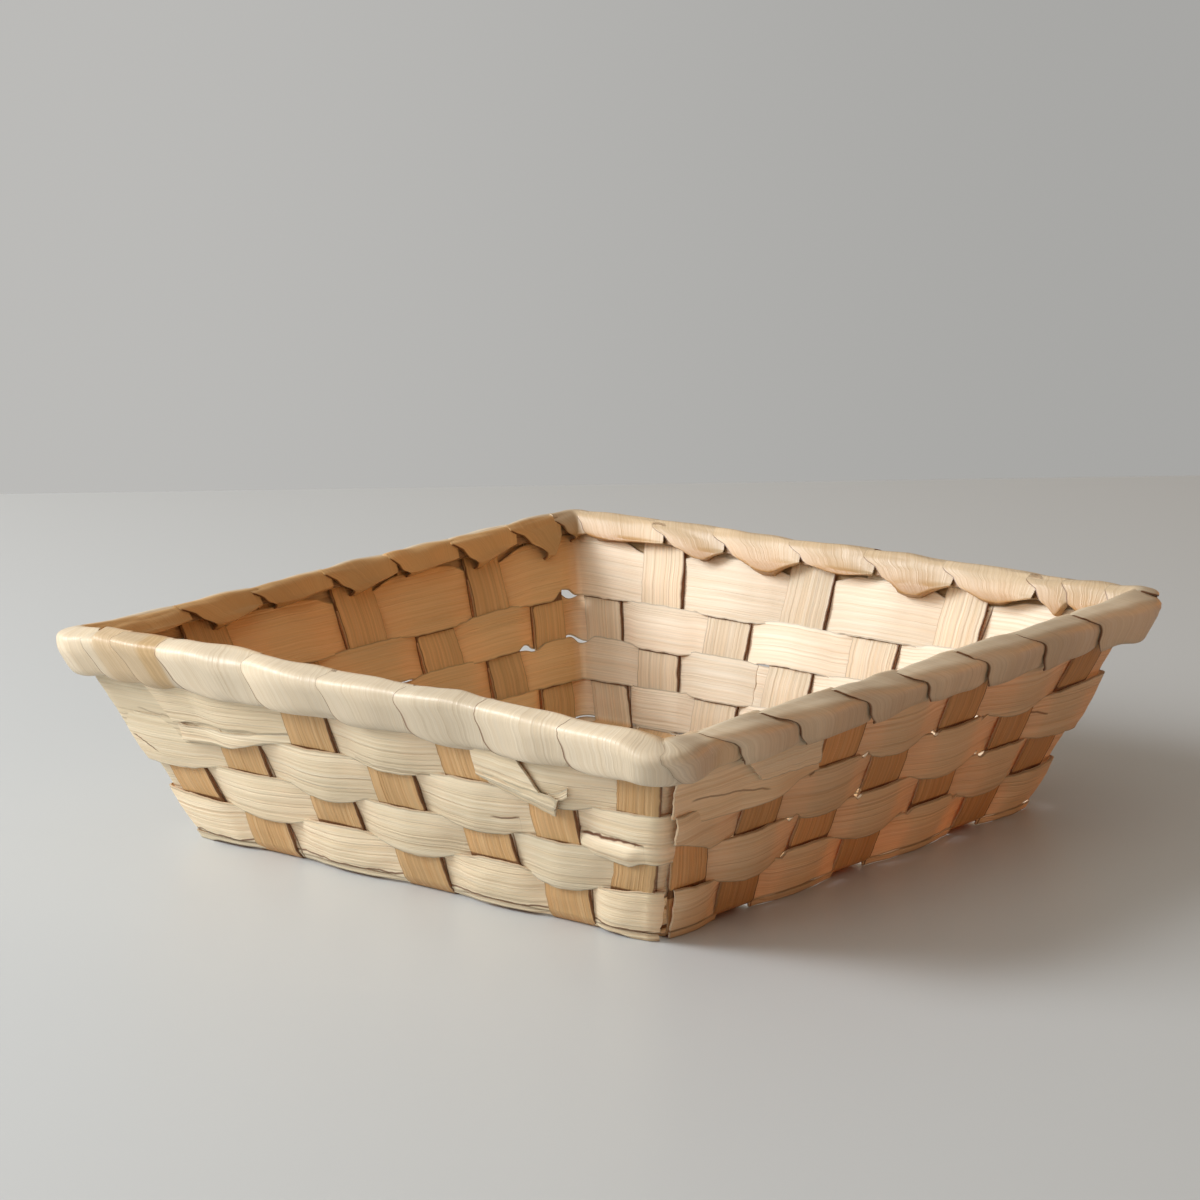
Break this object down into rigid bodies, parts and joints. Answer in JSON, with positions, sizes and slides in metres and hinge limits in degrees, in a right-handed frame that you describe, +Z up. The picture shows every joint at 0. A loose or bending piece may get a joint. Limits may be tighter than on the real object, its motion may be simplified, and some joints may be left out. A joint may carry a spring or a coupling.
{
  "type": "woven splint basket",
  "caption": "Shallow square open basket of flat wood splints woven over and under, with flared walls and a splint-lashed rim.",
  "frame": {"origin": "centre of the base, on the surface that the basket stands on", "axes": "+Z up out of the open mouth, X and Y along the sides of the square; the wall at -Y is called front and the wall at +X is called right"},
  "size_m": [0.2484, 0.2484, 0.0694],
  "materials": {
    "stake_splint": "split wood fibre, satin, golden tan",
    "weaver_splint": "split wood fibre, satin, pale straw with darker fibre streaks",
    "hoop_splint": "split wood, matte",
    "lashing_splint": "shaved wood fibre, satin sheen, cream"
  },
  "bodies": {
    "root": {"front_back_stake_1": "stake_splint", "front_back_stake_2": "stake_splint", "front_back_stake_3": "stake_splint", "front_back_stake_4": "stake_splint", "front_back_stake_5": "stake_splint", "front_back_stake_6": "stake_splint", "front_back_stake_7": "stake_splint", "left_right_stake_1": "stake_splint", "left_right_stake_2": "stake_splint", "left_right_stake_3": "stake_splint", "left_right_stake_4": "stake_splint", "left_right_stake_5": "stake_splint", "left_right_stake_6": "stake_splint", "left_right_stake_7": "stake_splint", "weaver_row_1": "weaver_splint", "weaver_row_2": "weaver_splint", "weaver_row_3": "weaver_splint", "weaver_row_4": "weaver_splint", "weaver_row_5_in_rim": "weaver_splint", "inner_rim_hoop": "hoop_splint", "outer_rim_hoop": "hoop_splint", "rim_lashing_front": "lashing_splint", "rim_lashing_right": "lashing_splint", "rim_lashing_back": "lashing_splint", "rim_lashing_left": "lashing_splint", "lashing_tail_front": "lashing_splint", "lashing_tail_right": "lashing_splint"}
  },
  "joints": []
}
